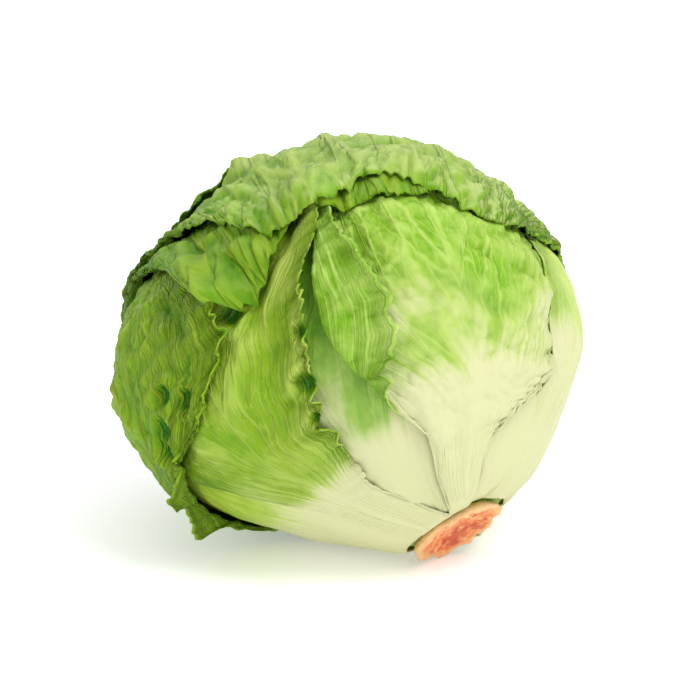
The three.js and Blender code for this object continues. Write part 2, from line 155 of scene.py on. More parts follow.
# %% How far the heart reaches
LEAVES_DEPTH = 5.5
LEAVES_DEPTH_BEHIND = 10.5
THIN_SIDE = one_direction(68, -12)
CROWN = dict(place=one_direction(122, 58), height=9.0, spread=36.0)
LEFT_SIDE = dict(place=one_direction(101, -76), height=5.5, spread=34.0)
LEFT_SHOULDER = dict(place=one_direction(134, -42), height=-6.0, spread=24.0)
NECK_HEIGHT = 12.0
NECK_SPREAD = 24.0
STEM_SEAT = 73.0
SEAT_REACH = 60
HEART_FLOOR_GAP = 6.5
HEART_WAVE = 0.6
THIN_REACH = (50, 110)
LEAST_FALL = 0.05
FAR_AWAY = 1e6


def floor_reach(dirs, lift=0.0):
    """Distance from the head's middle down to the floor along directions."""
    fall = np.maximum(-dirs[..., 2], LEAST_FALL)
    return np.where(dirs[..., 2] < -LEAST_FALL, (HEAD_MIDDLE[2] - lift) / fall, FAR_AWAY)


def seat_slant(from_stem):
    """What to divide a height by, so that slanted directions end on one flat face across the stem."""
    return np.cos(np.radians(np.minimum(from_stem, SEAT_REACH)))


def heart_reach(dirs):
    from_stem = angle_between(dirs, stem_axis)
    neck = NECK_HEIGHT * np.exp(-((from_stem / NECK_SPREAD) ** 2))
    x, y, z = dirs[..., 0], dirs[..., 1], dirs[..., 2]
    waves = HEART_WAVE * np.sin(9 * x + 4 * z) * np.sin(7 * y - 5 * z + 1)
    behind = smooth(*THIN_REACH, angle_between(dirs, THIN_SIDE))
    leaves = LEAVES_DEPTH + (LEAVES_DEPTH_BEHIND - LEAVES_DEPTH) * behind
    reach = 1 / np.linalg.norm(dirs / HEAD_HALF, axis=-1) - leaves + neck + waves
    for swell in (CROWN, LEFT_SIDE, LEFT_SHOULDER):
        off = angle_between(dirs, swell["place"]) / swell["spread"]
        reach = reach + swell["height"] * np.exp(-(off ** 2))
    seat = np.where(from_stem < SEAT_REACH, STEM_SEAT / seat_slant(from_stem), FAR_AWAY)
    return np.minimum(np.minimum(reach, seat), floor_reach(dirs, HEART_FLOOR_GAP))


print("the heart reaches", heart_reach(-down).round(1), "mm up")


# %% [markdown]
# Each leaf is drawn on a flat map round its own middle, as an atlas shows a country, and the map is
# then laid back on the head. `on_map` goes from the globe to the map and `off_map` comes back.

# %% Flat maps of the globe
def make_frame(from_stem, round_stem):
    return {
        "centre": one_direction(from_stem, round_stem),
        "north": one_direction(from_stem + 90, round_stem),
        "east": one_direction(90, round_stem + 90),
    }


def on_map(chart, dirs):
    angle = np.arccos(np.clip(dirs @ chart["centre"], -1, 1))
    x = dirs @ chart["east"]
    y = dirs @ chart["north"]
    scale = MAP_SCALE * angle / np.maximum(np.hypot(x, y), 1e-9)
    return x * scale, y * scale


def off_map(chart, x, y):
    length = np.maximum(np.hypot(x, y), 1e-9)
    angle = length / MAP_SCALE
    swing = (np.sin(angle) / length)[..., None]
    flat = x[..., None] * chart["east"] + y[..., None] * chart["north"]
    return np.cos(angle)[..., None] * chart["centre"] + swing * flat


# %% [markdown]
# A leaf's margin is a smooth line through a few given points. `line_through` gives the line's
# place at any share of its length, with whatever else the rows hold blended along with it.

# %% Smooth lines through points
def line_through(rows):
    rows = np.array(rows, float)
    steps = np.hypot(*np.diff(rows[:, :2], axis=0).T)
    at = np.concatenate([[0], np.cumsum(steps)])
    last = len(rows) - 1
    before = np.maximum(np.arange(last + 1) - 1, 0)
    after = np.minimum(np.arange(last + 1) + 1, last)
    slope = (rows[after] - rows[before]) / (at[after] - at[before])[:, None]

    def value(share):
        s = np.clip(share, 0, 1) * at[-1]
        i = np.clip(np.searchsorted(at, s, side="right") - 1, 0, last - 1)
        span = (at[i + 1] - at[i])[..., None]
        t = (s - at[i])[..., None] / span
        rise = t * t * (3 - 2 * t)
        first = t * (1 - t) ** 2 * span * slope[i]
        final = t * t * (1 - t) * span * slope[i + 1]
        return rows[i] + (rows[i + 1] - rows[i]) * rise + first - final

    return value, at[-1]


# %% [markdown]
# A leaf lies on what is under it. The map of heights starts from the heart, every leaf laid before
# raises it, and then it is widened and smoothed, so that the new leaf bridges small steps as a real
# blade does.

# %% Map of heights
MAP_CELL = 1.6
MAP_HALF = 200.0
BRIDGE_CELLS = 2


def sweep(grid, combine):
    """Combines each cell with its neighbours along both ways of the map."""
    for axis in (0, 1):
        near = [np.roll(grid, k, axis) for k in range(-BRIDGE_CELLS, BRIDGE_CELLS + 1)]
        grid = combine(near)
    return grid


def make_heights(chart, laid):
    half = int(MAP_HALF / MAP_CELL)
    size = 2 * half + 1
    ticks = (np.arange(size) - half) * MAP_CELL
    gx, gy = np.meshgrid(ticks, ticks)
    raw = heart_reach(off_map(chart, gx, gy))
    if laid:
        points = np.concatenate(laid)
        length = np.linalg.norm(points, axis=1)
        x, y = on_map(chart, points / length[:, None])
        i = np.clip(np.rint(x / MAP_CELL).astype(int) + half, 0, size - 1)
        j = np.clip(np.rint(y / MAP_CELL).astype(int) + half, 0, size - 1)
        np.maximum.at(raw, (j, i), length)
    soft = sweep(raw, lambda near: np.maximum.reduce(near))
    soft = sweep(soft, lambda near: np.mean(near, axis=0))
    soft = sweep(soft, lambda near: np.mean(near, axis=0))

    def look_up(x, y):
        u = np.clip(x / MAP_CELL + half, 0, size - 1.001)
        v = np.clip(y / MAP_CELL + half, 0, size - 1.001)
        i = u.astype(int)
        j = v.astype(int)
        a, b = u - i, v - j
        low = soft[j, i] * (1 - a) + soft[j, i + 1] * a
        high = soft[j + 1, i] * (1 - a) + soft[j + 1, i + 1] * a
        return low * (1 - b) + high * b

    return look_up


# %% [markdown]
# The veins fan out from the leaf's foot: the thick ones run up the middle, and the others leave it one
# after another and bend toward the margin. One number, the vein number, stays the same along each
# vein. The thick ribs are real relief, and the materials use the same number for the fine network.

# %% Vein pattern
VEIN_BEND = 1.15
VEIN_POWER = 1.2
VEIN_LAST = 0.985
RIBS_PER_STEP = 3.4
RIB_WANDER = 0.6
RIB_SOFTNESS = 0.5
RIB_SHARE = 0.45
MIDRIB_HALF = 0.12


def vein_number(across, along):
    share = np.clip(np.abs(across), 0, VEIN_LAST) ** (1 / VEIN_POWER)
    lift = (along - VEIN_BEND * share) / (1 - share)
    return np.where(lift > 0, lift, -np.log(1 - np.minimum(lift, 0)))


def rib_relief(across, along, seed):
    """Height of the ribs over the blade, from 0 to 1, highest at the foot."""
    number = vein_number(across, along)
    wander = RIB_WANDER * noise(number * 1.1 + 5, np.sign(across) * 3 + 0.5, seed)
    phase = number * RIBS_PER_STEP + wander + 0.5 * np.sign(across)
    ridge = np.abs((phase - np.floor(phase)) - 0.5) * 2
    ribs = np.exp(-((1 - ridge) / RIB_SOFTNESS) ** 2)
    fade = (1 - smooth(0.15, 0.85, along)) * (1 - 0.5 * smooth(0.5, 1, np.abs(across)))
    midrib = np.exp(-((across / MIDRIB_HALF) ** 2)) * (1 - smooth(0.2, 0.95, along))
    return np.maximum(RIB_SHARE * ribs * fade, midrib)


# %% [markdown]
# The twelve leaves, from the innermost out. Each margin runs from the stem to the tip, and each of its
# points is: degrees from the stem, degrees round it, height of the frill in millimetres, and width of
# the blade that turns outward there in millimetres. They could be drawn as curves by hand, but a short
# list of points is easier to correct.
#
# A fold runs from one place to another, with its half width and its rise in millimetres, and a furrow is
# a fold with a negative rise. A hollow is a small round dip, with its place and radius. `pale` is the
# share of the leaf, from its foot, that is cream. `crinkle` holds the size and height of its crinkles,
# `press` is how far its margins are pressed down, and `lobe` is the length of a lobe, all in millimetres.
# `middle` is the centre of the leaf's map, and `cells` is how fine its grid is. The leaves are numbered
# from the inside out, and the number is also the seed of their noise.

# %% Leaf outlines
LEAF_DEFAULTS = dict(folds=(), hollows=(), press=0.8, lobe=15, turn_left=50, turn_right=50,
                     tip_frill=0, floor_gap=0.3, rests=False)

LEAVES = [
    dict(name="leaf_under_right", pale=1.3, crinkle=(16, 0.4),
         middle=(58, 52), cells=(30, 50),
         left=[(14, 24), (40, 22), (75, 26), (100, 34)],
         right=[(14, 64), (30, 74), (55, 86), (85, 86), (105, 76)]),
    dict(name="leaf_inner_left", pale=0.75, crinkle=(12, 0.8),
         middle=(62, 0), cells=(80, 110),
         left=[(14, -30), (40, -42), (70, -42), (100, -30), (116, -12)],
         right=[(14, 26), (40, 32), (70, 38), (98, 42), (116, 40)]),
    dict(name="leaf_back_low", pale=0.6, crinkle=(12, 1.1),
         middle=(68, 178), cells=(60, 80),
         left=[(14, 140), (40, 126), (70, 122), (100, 134), (122, 158)],
         right=[(14, 205), (40, 205), (70, 216), (100, 224), (122, 206)]),
    dict(name="leaf_back_right", pale=0.55, crinkle=(12, 1.2),
         middle=(72, 122), cells=(64, 90),
         left=[(14, 92), (40, 82), (70, 78), (100, 78), (126, 88)],
         right=[(14, 142), (40, 158), (70, 168, 2, 3), (100, 166, 3, 4), (126, 146)]),
    dict(name="leaf_under_front", pale=0.9, crinkle=(14, 0.5),
         middle=(52, -90), cells=(60, 70), floor_gap=2.8,
         left=[(14, -132), (40, -150), (65, -148), (86, -130)],
         right=[(14, -26), (30, -26), (50, -30), (70, -44), (86, -64)]),
    dict(name="leaf_centre", pale=0.83, crinkle=(13, 2.8), press=1.2,
         folds=[((20, 14), (41, 19), 4, 1.6), ((41, 19), (55, 18), 4, 1.4),
                ((22, 20), (42, 32), 4, 1.2), ((21, 26), (39, 46), 4, 1.0),
                ((79, 36), (73, 42), 4, -2.2), ((90, 33), (79, 30), 3, 1.6),
                ((85, 46), (76, 65), 4, 1.8), ((76, 57), (65, 69), 3, 1.8),
                ((74, 34), (66, 28), 3, -1.6), ((82, 50), (73, 62), 3, -1.8),
                ((92, 50), (84, 62), 4, 1.5), ((60, 52), (66, 64), 3, 1.6),
                ((70, 44), (60, 60), 3, -1.2), ((82, 66), (68, 72), 3, 1.8),
                ((98, 34), (92, 48), 4, 1.8)],
         middle=(64, 40), cells=(150, 210), lobe=9,
         turn_left=165, turn_right=40,
         left=[(14, 8), (30, 13), (42, 16), (50, 13, 0, 2), (59, 11, 4, 10), (68, 8, 5, 20),
               (77, 8, 5, 27), (87, 11, 4, 23), (98, 17, 3, 14), (112, 25, 0, 6)],
         right=[(14, 30), (28, 36), (36, 43, 1), (41, 51, 3, 2), (46, 64, 3, 2), (58, 72, 2),
                (75, 76), (95, 73), (110, 64)]),
    dict(name="leaf_left", pale=0.48, crinkle=(19, 1.3), press=2.2,
         folds=[((106, 20), (94, 4), 4, 2.4), ((94, 4), (84, -12), 4, 2.6),
                ((84, -12), (76, -22), 4, 1.6), ((107, 6), (87, -8), 5, -1.6),
                ((83, -2), (73, -14), 4, -1.2), ((86, 6), (72, -6), 3, 1.4),
                ((85, -17), (75, -39), 5, 1.2)],
         hollows=[((106, 4), 3.6), ((93, -12), 4.4), ((79, 1), 2.6), ((69, -4.5), 3.6),
                  ((61, -8), 2.4)],
         middle=(64, -30), cells=(140, 240), turn_right=60, lobe=9,
         left=[(14, -34), (31, -36), (44, -38), (53, -42), (62, -49), (72, -57), (84, -64), (98, -60),
               (112, -40)],
         right=[(14, 12), (20, 4), (26, -3, 1), (38, -11, 2), (48, -8, 3), (54, -8, 4, 3),
                (60, -8, 3), (67, -5, 4, 4), (74, -1, 3, 1), (80, 2, 4, 3), (88, 6, 3), (98, 16, 2),
                (108, 22, 1)]),
    dict(name="leaf_right", pale=0.84, crinkle=(16, 0.7), press=3.4,
         folds=[((58, 92), (72, 98), 15, 4.2)],
         middle=(64, 104), cells=(110, 190), turn_left=35,
         left=[(14, 47), (20, 47), (26, 55), (37, 66), (48, 69), (58, 70, 1), (70, 73, 1),
               (82, 78, 2), (95, 86, 1)],
         right=[(14, 108), (30, 124), (50, 138, 1, 2), (70, 146, 3, 4), (90, 144, 4, 4),
                (108, 128, 3, 3)]),
    dict(name="leaf_far_left", pale=0.3, crinkle=(10, 2.0), press=2.0,
         hollows=[((79.5, -47), 4.4), ((82.5, -43), 4.2), ((88, -37), 3.8), ((83, -31), 3.6)],
         folds=[((75, -52), (102, -54), 3, 1.4), ((100, -30), (101, -62), 4, 1.2),
                ((94, -22), (95, -41), 3, 1.2), ((109, -51), (112, -33), 4, 1.4),
                ((89, -52), (103, -66), 3, 1.2), ((116, -22), (106, -26), 3, -1.8),
                ((106, -27), (95, -24), 3, -1.4)],
         middle=(84, -100), cells=(140, 220), rests=True, floor_gap=0, lobe=8,
         turn_right=50, turn_left=50,
         left=[(14, -156), (32, -168), (52, -175, 1, 2), (75, -168, 3, 4), (98, -152, 2, 2),
               (132, -122, 1, 1)],
         right=[(14, -116), (30, -112), (46, -106), (55, -97, 1), (61, -85, 3, 2), (66, -74, 5, 7),
                (70, -62, 5, 8), (73, -51, 3, 3), (76, -42, 3), (77, -33, 4), (80, -25, 4, 1),
                (88, -15, 4, 2), (102, -16, 3, 3), (118, -22, 1), (134, -34)]),
    dict(name="leaf_top_inner", pale=0.25, crinkle=(11, 1.8), press=2.4,
         folds=[((126, -23), (99, -13), 3, 1.8), ((99, -13), (92, -3), 3, 1.4),
                ((122, -15), (114, 2), 4, 1.6), ((119, -19), (103, -6), 4, -1.2),
                ((111, -14), (101, 1), 5, 1.6)],
         middle=(148, 180), cells=(190, 170), floor_gap=5, tip_frill=2,
         left=[(14, 166), (50, 156), (85, 135), (106, 105), (112, 80), (107, 60)],
         right=[(14, 186), (45, 190), (70, 210), (96, 238), (116, 262), (126, 290), (130, 316)],
         tip=[(98, 47), (100, 35), (101, 23), (103, 12), (99, 5), (94, 0), (91, -6), (96, -13),
              (106, -18), (118, -26)]),
    dict(name="leaf_top", pale=0.25, crinkle=(10, 2.3), press=2.6,
         folds=[((143, -8), (121, 8), 4, 1.6), ((160, 4), (120, 16), 4, 1.8),
                ((150, 30), (120, 20), 4, 2.0), ((153, 55), (119, 36), 4, 2.0),
                ((147, 18), (118, 15), 3, -1.6), ((140, 48), (112, 59), 4, 1.8),
                ((124, 42), (108, 66), 3, -1.8), ((124, 84), (100, 83), 4, 1.8),
                ((105, 75), (94, 92), 4, 1.6), ((116, 44), (106, 49), 3, 1.4),
                ((162, 0), (160, 22), 7, 5.0), ((152, 66), (150, 84), 6, 3.5)],
         middle=(148, 176), cells=(190, 220), floor_gap=2.6, tip_frill=2.5,
         turn_left=40, turn_right=60,
         left=[(14, 150), (40, 148), (60, 140), (72, 128), (78, 112), (82, 92, 1),
               (83, 72, 1)],
         right=[(14, 184), (40, 188), (60, 204), (78, 224, 1, 2), (100, 248, 2, 1), (124, 276, 1),
                (142, 312, 1)],
         tip=[(86, 60), (94, 51), (102, 43), (107, 33), (103, 22), (101, 9), (110, 1), (122, -8),
              (132, -22)]),
    dict(name="leaf_back_left", pale=0.35, crinkle=(12, 1.4),
         middle=(98, 200), cells=(96, 130), tip_frill=1.5,
         turn_left=40, turn_right=40,
         left=[(14, 158), (40, 156), (70, 158, 2, 2), (100, 156, 3, 3), (130, 150, 3, 3),
               (150, 110, 3, 3)],
         right=[(14, 188), (40, 193), (60, 206), (78, 222, 1, 1), (100, 242, 1, 1), (130, 262, 1, 1),
                (156, 292, 1, 1)],
         tip=[(164, 70), (168, 20), (164, -20)]),
]
LEAVES = [{**LEAF_DEFAULTS, "seed": number, **leaf} for number, leaf in enumerate(LEAVES, 1)]
print(len(LEAVES), "leaves, from", LEAVES[0]["name"], "to", LEAVES[-1]["name"])

# %% [markdown]
# A lettuce leaf has more length at its margin than it can lay flat, so the edge ruffles, is cut into
# lobes, and may turn outward and roll over. Each leaf could be sculpted by hand. Here these forms are
# formulas on the distance from the edge, so that all the leaves share them.

# %% Rolled, lobed and ruffled margins
ROLL_RADIUS = 3.0
# Waves in a lobe's length, and their weight.
LOBE_WAVES = ((1.0, 2.4), (2.3, 1.3), (4.4, 0.5))
LOBE_SHIFT = 0.7
LOBE_INWARD = 60
UNEVEN_LEAST = 0.35
UNEVEN_GAIN = 2.0
UNEVEN_SIZE = 31
FRILL_BASE = 0.45
FRILL_MOST = 1.7
# Waves in a lobe's length, how far inward each of them runs, what it adds to the seed, and its weight.
FRILL_WAVES = ((1.0, 50, 0, 1.4), (2.1, 40, 11, 0.9), (4.2, 12, 23, 0.3))


def roll(past, turn):
    """Where blade that runs past a fold ends up: along the surface, and over it."""
    angle = np.minimum(past / ROLL_RADIUS, turn)
    straight = past - angle * ROLL_RADIUS
    forth = ROLL_RADIUS * np.sin(angle) + straight * np.cos(angle)
    over = ROLL_RADIUS * (1 - np.cos(angle)) + straight * np.sin(angle)
    return forth, over


def lobes(along_edge, inward, size, seed):
    """How far a cut margin stands out: round lobes with narrow clefts, where it is below 0."""
    total = 0
    for k, (step, weight) in enumerate(LOBE_WAVES):
        wave = noise(along_edge / size * step, inward / LOBE_INWARD, seed + 5 + k)
        total = total + weight * np.abs(wave)
    uneven = UNEVEN_LEAST + UNEVEN_GAIN * np.abs(noise(along_edge / UNEVEN_SIZE, 0.5, seed + 8))
    return uneven * (total - LOBE_SHIFT)


def frill(along_edge, inward, size, seed):
    """How far a ruffled margin stands off the head, from 0 to FRILL_MOST."""
    total = FRILL_BASE
    for step, depth, shift, weight in FRILL_WAVES:
        total = total + weight * noise(along_edge / size * step, inward / depth, seed + shift)
    return np.clip(total, 0, FRILL_MOST)


# %% [markdown]
# Between its margins a blade is crinkled all over, folded where it was pressed against its neighbours,
# and dipped in a few small hollows. The crinkles are noise folded at zero, which gives sharp creases and
# round ridges. Folds and hollows come from the leaf's own entry.

# %% Crinkles, folds and hollows
CRINKLE_WEIGHTS = (0.55, 0.3, 0.15)
CRINKLE_BEND = 0.35
CRINKLE_BEND_SIZE = 1.7
CRINKLE_GAIN = 2.4
FOLD_WANDER = 1.2
FOLD_WANDER_SIZE = 7
HOLLOW_WANDER = 0.4
HOLLOW_WANDER_SIZE = 4
LIP_PLACE = 1.5
LIP_HALF = 0.55


def crinkle(x, y, size, seed):
    """Crinkles of a blade, from 0 in the creases to 1 on the ridges, at three sizes."""
    total = 0
    for octave, weight in enumerate(CRINKLE_WEIGHTS):
        scale = size / 2 ** octave
        bend_x, bend_y = x / scale / CRINKLE_BEND_SIZE, y / scale / CRINKLE_BEND_SIZE
        bend = CRINKLE_BEND * noise(bend_x + 9, bend_y, seed + 3 + octave)
        crease = np.abs(noise(x / scale + bend, y / scale - bend, seed + 7 * octave))
        total = total + weight * np.clip(crease * CRINKLE_GAIN, 0, 1)
    return total


def fold_height(spec, chart, x, y):
    """Height of the folds, and depth of the furrows, that the leaf's own entry lists."""
    total = np.zeros_like(x)
    wander = FOLD_WANDER * noise(x / FOLD_WANDER_SIZE, y / FOLD_WANDER_SIZE, spec["seed"] + 51)
    for start, end, half_width, rise in spec["folds"]:
        ax, ay = on_map(chart, one_direction(*start))
        bx, by = on_map(chart, one_direction(*end))
        length = (bx - ax) ** 2 + (by - ay) ** 2
        share = np.clip(((x - ax) * (bx - ax) + (y - ay) * (by - ay)) / length, 0, 1)
        off = np.hypot(x - ax - share * (bx - ax), y - ay - share * (by - ay)) + wander
        total = total + rise * np.exp(-((off / half_width) ** 2))
    return total


def hollows(spec, chart, x, y):
    """Where the blade dips into small hollows, from 0 to 1, and the lip round each of them."""
    dip = np.zeros_like(x)
    lip = np.zeros_like(x)
    wander = HOLLOW_WANDER * noise(x / HOLLOW_WANDER_SIZE, y / HOLLOW_WANDER_SIZE, spec["seed"] + 81)
    for place, radius in spec["hollows"]:
        cx, cy = on_map(chart, one_direction(*place))
        off = np.hypot(x - cx, y - cy) / radius + wander
        dip = np.maximum(dip, np.exp(-np.maximum(off, 0) ** 4))
        lip = np.maximum(lip, np.exp(-(((off - LIP_PLACE) / LIP_HALF) ** 2)))
    return dip, lip * (1 - dip)


# %% [markdown]
# `margins` stretches a leaf between its two drawn edges. Share across runs from -1 to 1, share along from
# 0 at the foot to 1 at the tip. Blade that runs past the edge's fold is rolled outward round a small
# radius. The foot and the tip are eased onto lines of their own, so that no leaf ends in a hard corner.

# %% From outline to map
SIDES_APART = 50


def map_rows(chart, points):
    """Places on the map for a list of margin points, each with its frill and its flap."""
    out = []
    for from_stem, round_stem, *rest in points:
        x, y = on_map(chart, one_direction(from_stem, round_stem))
        out.append([float(x), float(y), *rest, *([0] * (2 - len(rest)))])
    return out


def chord(left, right, share, at):
    """The straight line from one edge to the other at one share along the leaf."""
    at = np.zeros_like(share) + at
    return left(at)[..., :2] * (1 - share)[..., None] + right(at)[..., :2] * share[..., None]


def foot_line(spec, chart, share):
    """The leaf's foot: part of a ring round the stem."""
    (theta_a, phi_a), (theta_b, phi_b) = spec["left"][0], spec["right"][0]
    ring = direction(theta_a + (theta_b - theta_a) * share, phi_a + (phi_b - phi_a) * share)
    return np.stack(on_map(chart, ring), -1)


def margins(spec, chart, across, along):
    """Places on the leaf's map, how far its edges are rolled up, and the way to each edge."""
    left, left_length = line_through(map_rows(chart, spec["left"]))
    right, right_length = line_through(map_rows(chart, spec["right"]))
    a, b = left(along), right(along)
    share = (across + 1) / 2
    width = np.hypot(b[..., 0] - a[..., 0], b[..., 1] - a[..., 1])
    to_right = (b[..., :2] - a[..., :2]) / width[..., None]
    on_left = share < 0.5
    outward = np.where(on_left, -1.0, 1.0)
    flap = np.maximum(np.where(on_left, a[..., 3], b[..., 3]), 0)
    ruffle = np.maximum(np.where(on_left, a[..., 2], b[..., 2]), 0)
    out = np.abs(across) * (width / 2 + flap)
    past = np.maximum(out - width / 2, 0)
    turn = np.radians(np.where(on_left, spec["turn_left"], spec["turn_right"]))
    forth, over = roll(past, turn)
    travel = np.minimum(out, width / 2) + forth
    place = (a[..., :2] + b[..., :2]) / 2 + to_right * (outward * travel)[..., None]
    to_foot = foot_line(spec, chart, share) - chord(left, right, share, 0)
    place = place + ((1 - along) ** 4)[..., None] * to_foot
    tip_length = width
    if "tip" in spec:
        tip_rows = map_rows(chart, [spec["left"][-1], *spec["tip"], spec["right"][-1]])
        tip, tip_length = line_through(tip_rows)
        to_tip = tip(share)[..., :2] - chord(left, right, share, 1)
        place = place + (along ** 3)[..., None] * to_tip
    side_length = np.where(on_left, left_length, right_length)
    return dict(place=place, over=over, past=past, ruffle=ruffle, to_right=to_right, outward=outward,
                from_side=(1 - np.abs(across)) * (width / 2 + flap),
                from_tip=(1 - along) * (left_length + right_length) / 2,
                along_side=along * side_length + SIDES_APART * outward,
                along_tip=share * tip_length)


# %% [markdown]
# `shape_leaf` adds the relief: ruffles and lobes near the edge, then crinkles, swells, folds, ribs and
# hollows. It also keeps three numbers for the material, so that colour follows form: how pale the leaf
# is there, how high on a ridge, and how near its edge. The ridge number also carries painted light and
# shade: it is low in creases and hollows, which the material paints darker, and high on ridges and the
# lips of hollows, which it paints lighter.

# %% From map to surface
FRILL_DEPTH = 9.0
FRILL_FALL = 1.5
LOBE_DEPTH = 4.5
LOBE_REACH = 0.09
PRESS_DEPTH = 5.0
RIB_HEIGHT = 0.65
GROWN = (0.1, 0.55)
SWELL_SIZE = 32
SWELL_HEIGHT = 1.6
FLAP_SIDE = (1, 6)
FLAP_WAVE = 3.4
FLAP_CRINKLE = 2.4
HOLLOW_SINK = 0.2
HOLLOW_LIP = 2.4
HOLLOW_SHADE = 1.3
RIDGE_MIDDLE = 0.42
PALE_SIZE = 26
PALE_WANDER = 0.22


def edge_shape(spec, m):
    """Where the lobes of the edges put each point, how high it stands, and how near an edge it is."""
    seed, lobe = spec["seed"], spec["lobe"]
    to_side = m["to_right"] * m["outward"][..., None]
    to_tip = np.stack([-m["to_right"][..., 1], m["to_right"][..., 0]], -1)
    edges = (("side", to_side, m["ruffle"], seed, seed),
             ("tip", to_tip, spec["tip_frill"], seed + 3, seed + 9))
    place, stand, edge = m["place"], 0, 0
    for name, outward, ruffle, frill_seed, lobe_seed in edges:
        inward, along_edge = m["from_" + name], m["along_" + name]
        near = np.exp(-(inward / FRILL_DEPTH) ** FRILL_FALL) * ruffle
        edge = edge + near
        stand = stand + near * frill(along_edge, inward, lobe, frill_seed)
        rim = np.exp(-inward / LOBE_DEPTH) * ruffle
        reach_out = LOBE_REACH * lobe * rim * lobes(along_edge, inward, lobe, lobe_seed)
        place = place + outward * reach_out[..., None]
    return place, stand, edge


def flap_relief(m, seed):
    """Waves and crinkles of the blade that is rolled over."""
    waves = FLAP_WAVE * noise(m["along_side"] / 7, m["past"] / 18, seed + 61)
    creases = FLAP_CRINKLE * crinkle(m["along_side"], m["past"] * 0.6, 9, seed + 67)
    return smooth(*FLAP_SIDE, m["past"]) * (waves + creases)


def shape_leaf(spec, across, along):
    """Place on the map, height over what lies below, and tint of each point of a leaf."""
    chart = make_frame(*spec["middle"])
    seed = spec["seed"]
    m = margins(spec, chart, across, along)
    place, stand, edge = edge_shape(spec, m)
    x, y = place[..., 0], place[..., 1]

    size, rise = spec["crinkle"]
    grown = smooth(*GROWN, along)
    ribs = rib_relief(across, along, seed)
    creases = crinkle(x, y, size, seed + 31)
    swell = noise(x / SWELL_SIZE, y / SWELL_SIZE, seed + 41)
    folds = fold_height(spec, chart, x, y)
    near_edge = np.exp(-m["from_side"] / PRESS_DEPTH) + np.exp(-m["from_tip"] / PRESS_DEPTH) * grown
    pressed = spec["press"] * np.minimum(near_edge, 1) * (m["past"] == 0)
    relief = rise * creases * (1 - 0.6 * ribs) + SWELL_HEIGHT * (swell + 0.35)
    height = m["over"] + stand + grown * relief
    height = height + folds + flap_relief(m, seed) - pressed + RIB_HEIGHT * ribs * (1 - 0.55 * along)
    dip, lip = hollows(spec, chart, x, y)
    height = height * (1 - dip) - HOLLOW_SINK * dip + HOLLOW_LIP * lip

    flap = smooth(0, FLAP_SIDE[1], m["past"])
    reach = along + PALE_WANDER * noise(x / PALE_SIZE, y / PALE_SIZE, seed + 71)
    pale = 1 - smooth(spec["pale"] * 0.3, spec["pale"], reach)
    pale = np.clip(pale + 0.5 * ribs * (1 - along), 0, 1) * (1 - flap)
    # The ridge number paints light and shade: it rises on crinkle ridges, folds, frills and hollow lips,
    # which are painted lighter, and sinks in creases and hollows, which are painted a darker shade.
    ridge = RIDGE_MIDDLE + 0.5 * (creases - 0.35) * grown + 0.16 * folds + 0.1 * stand
    ridge = np.clip(ridge, 0, 1) + 0.2 * lip - HOLLOW_SHADE * dip
    edge = np.clip(edge / 4 + flap, 0, 1)
    return chart, x, y, height, (pale, ridge, edge)


# %% [markdown]
# A finished blade also has to lie somewhere. It rests on the leaves laid before it, or on the floor, and
# all the feet meet in a flat collar round the stem, where they were cut together.

# %% Laying a leaf down
LEAF_GAP = 0.5
BLADE = 0.6
COLLAR_FACE = 76.0
COLLAR_STEP = 0.22
COLLAR_ANGLES = (18, 27)
REST_FLAT = 13.0
REST_EASE = 24.0


def lay_down(spec, dirs, below, height):
    """How far the leaf's inner face reaches from the head's middle, given what lies below it."""
    reach = below + LEAF_GAP
    floor_at = floor_reach(dirs) - BLADE
    if spec["rests"]:
        press = 1 - smooth(REST_FLAT, REST_EASE, angle_between(dirs, down))
        reach = np.where(press > 0, reach + (floor_at - reach) * press, reach)
        height = height * (1 - press)
    reach = np.minimum(reach + height, floor_at - spec["floor_gap"])
    from_stem = angle_between(dirs, stem_axis)
    leaves_over = len(LEAVES) - spec["seed"]
    collar = (COLLAR_FACE - COLLAR_STEP * leaves_over) / seat_slant(from_stem)
    held = 1 - smooth(*COLLAR_ANGLES, from_stem)
    return np.where(reach > collar, reach + (collar - reach) * held, reach)


# %% [markdown]
# The leaves, the heart and the stem are all made by moving the points of a plain mesh. These helpers
# read and place the points of a whole mesh at once, which is much faster than one by one, and keep on
# the mesh the numbers that the materials need.

# %% Small helpers for meshes
def deselect():
    if bpy.context.object and bpy.context.object.mode != "OBJECT":
        bpy.ops.object.mode_set(mode="OBJECT")
    bpy.ops.object.select_all(action="DESELECT")


def read_points(mesh, what):
    """The places, or the normals, of a mesh's points, one row for each."""
    out = np.empty(len(mesh.vertices) * 3)
    mesh.vertices.foreach_get(what, out)
    return out.reshape(-1, 3)


def place_points(mesh, points):
    """Moves a mesh's points to places given in millimetres from the head's middle."""
    mesh.vertices.foreach_set("co", ((points + HEAD_MIDDLE) * MM).ravel())


def write_map(mesh, name, first, second):
    """A UV map from two numbers per point."""
    layer = mesh.uv_layers.new(name=name)
    corner = np.empty(len(mesh.loops), int)
    mesh.loops.foreach_get("vertex_index", corner)
    layer.data.foreach_set("uv", np.stack([first[corner], second[corner]], -1).ravel())


def write_tint(mesh, first, second, third):
    """A colour attribute from three numbers per point."""
    shades = mesh.color_attributes.new(name="tint", type="FLOAT_COLOR", domain="POINT")
    shades.data.foreach_set("color", np.stack([first, second, third, np.ones_like(first)], -1).ravel())


# %% [markdown]
# The blades themselves: a flat grid is added, its points are moved to the leaf's places, and a
# Solidify modifier gives it the thickness of a leaf. A grid keeps the rows of points in step with the
# veins, which a sculpted or remeshed surface would lose. Its rows crowd toward the edges, where the
# finest lobes are.

# %% Making a blade
EDGE_CROWD = 0.42


def crowd(value):
    """Moves rows of a grid toward its edge."""
    return (1 - EDGE_CROWD) * value + EDGE_CROWD * np.sin(value * math.pi / 2)


